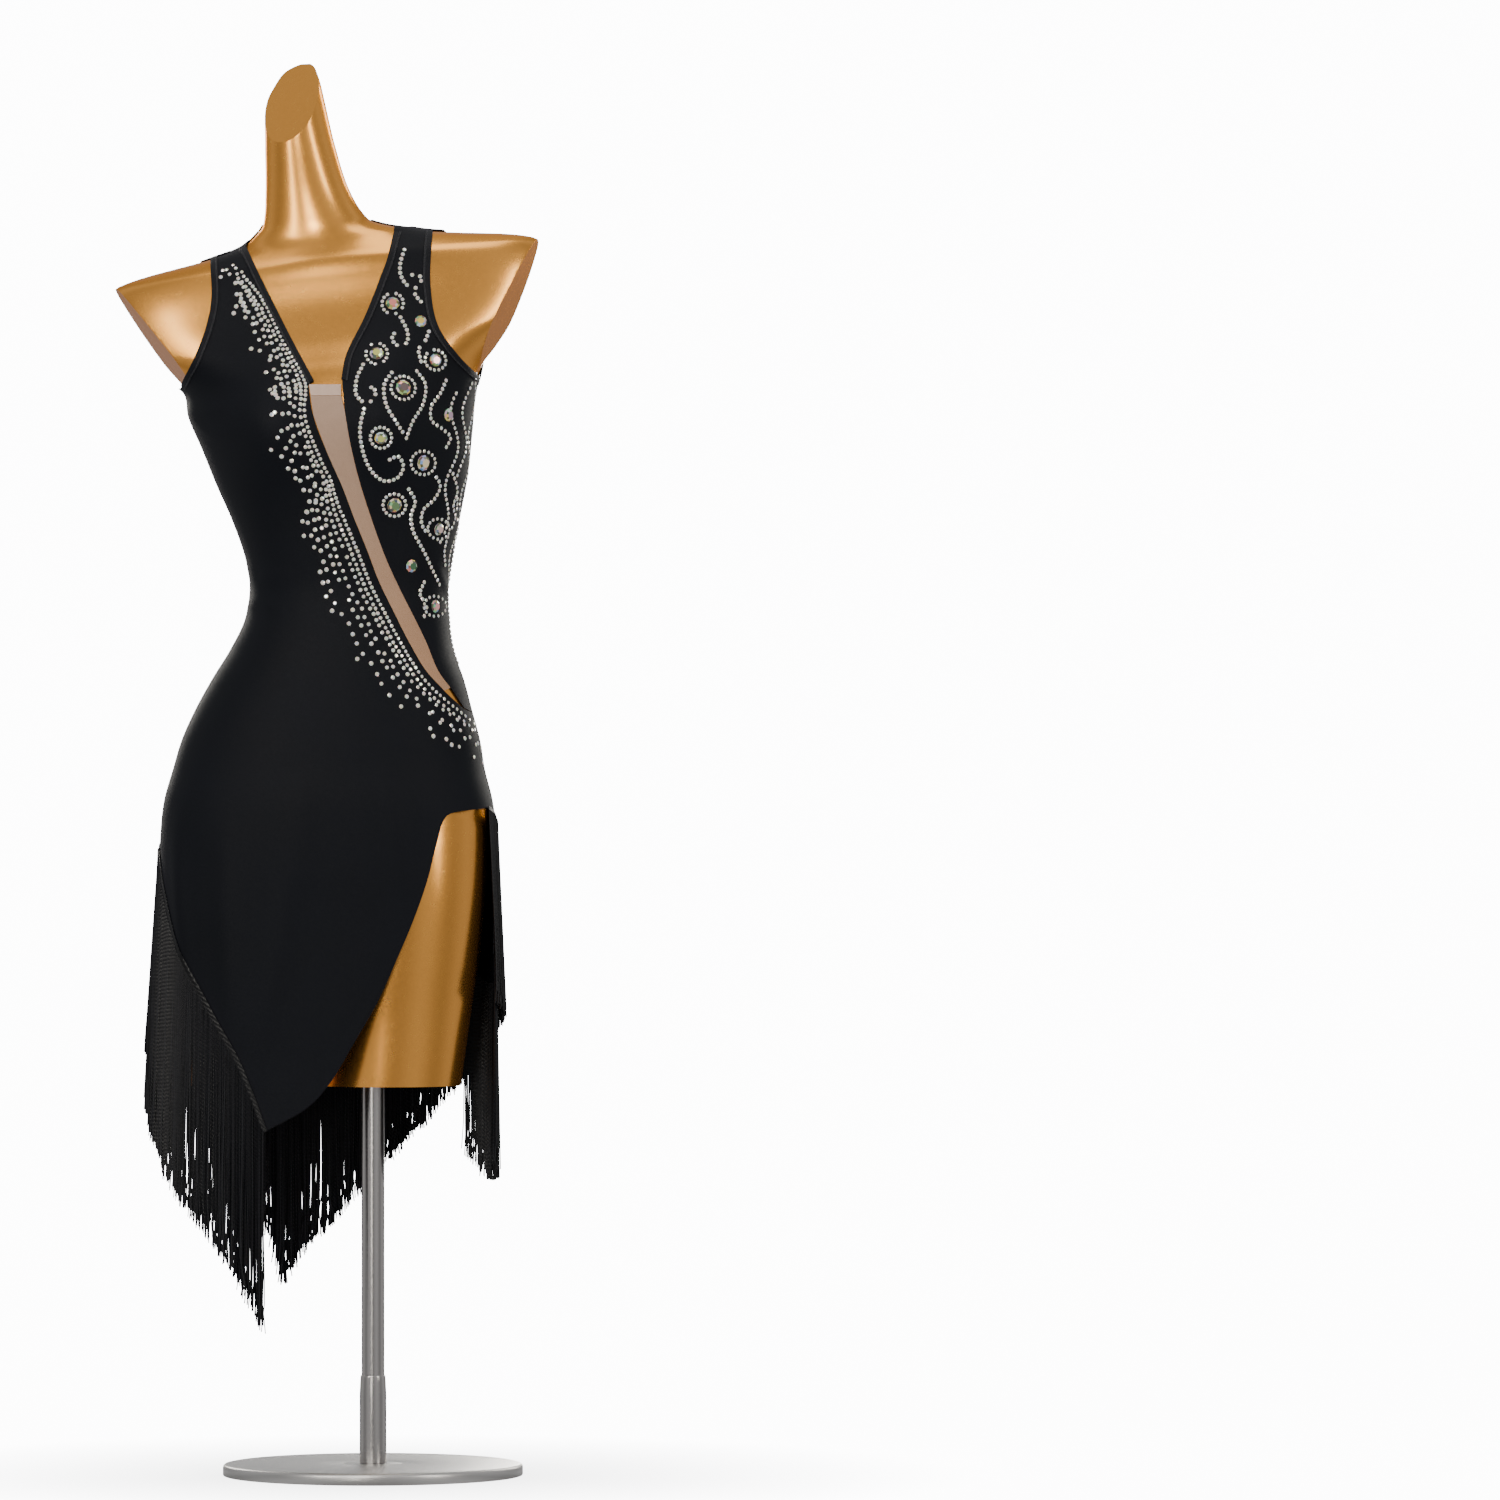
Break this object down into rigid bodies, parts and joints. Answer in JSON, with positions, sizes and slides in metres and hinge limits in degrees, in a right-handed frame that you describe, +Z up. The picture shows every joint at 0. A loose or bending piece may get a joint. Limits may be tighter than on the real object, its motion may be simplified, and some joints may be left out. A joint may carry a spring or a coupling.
{
  "type": "latin dance dress on a dress form",
  "caption": "Black sleeveless latin dance dress with a nude mesh wedge, stones, a slit and an asymmetrical fringed hem, on a gold headless torso form with a tube and round foot.",
  "frame": {"origin": "middle of the foot's underside, on the floor under the tube", "axes": "+Z up, the dress's front towards -Y, the wearer's left side and the slit towards +X"},
  "size_m": [0.4221, 0.3, 1.412],
  "materials": {
    "form_gold": "glossy",
    "stand_steel": "polished",
    "stand_foot_steel": "brushed",
    "black_lycra": "satin",
    "black_binding": "matte",
    "black_fringe": "silky",
    "nude_mesh": "matte",
    "nude_elastic": "satin",
    "stone_glass": "faceted"
  },
  "bodies": {
    "root": {"stand_foot": "stand_foot_steel", "stand_sleeve": "stand_steel", "stand_tube": "stand_steel", "form_body": "form_gold", "front_right": "black_lycra", "front_left": "black_lycra", "mesh_inset": "nude_mesh", "inset_elastic": "nude_elastic", "back_panel": "black_lycra", "neck_band_right": "black_lycra", "neck_band_left": "black_lycra", "side_drape": "black_lycra", "binding_neck_right": "black_binding", "binding_neck_left": "black_binding", "binding_armhole_right": "black_binding", "binding_armhole_left": "black_binding", "binding_back_armhole_right": "black_binding", "binding_back_armhole_left": "black_binding", "binding_opening_right": "black_binding", "binding_opening_left": "black_binding", "fringe_front": "black_fringe", "fringe_back_right": "black_fringe", "fringe_back_left": "black_fringe", "fringe_side": "black_fringe", "fringe_drape": "black_fringe", "clasp_tab": "black_binding", "clasp_bead_upper": "stone_glass", "clasp_bead_lower": "stone_glass", "stone_01": "stone_glass", "stone_02": "stone_glass", "stone_03": "stone_glass", "stone_04": "stone_glass", "stone_05": "stone_glass", "stone_06": "stone_glass", "stone_07": "stone_glass", "stone_08": "stone_glass", "stone_09": "stone_glass", "stone_10": "stone_glass", "stone_11": "stone_glass", "stone_12": "stone_glass"}
  },
  "joints": []
}
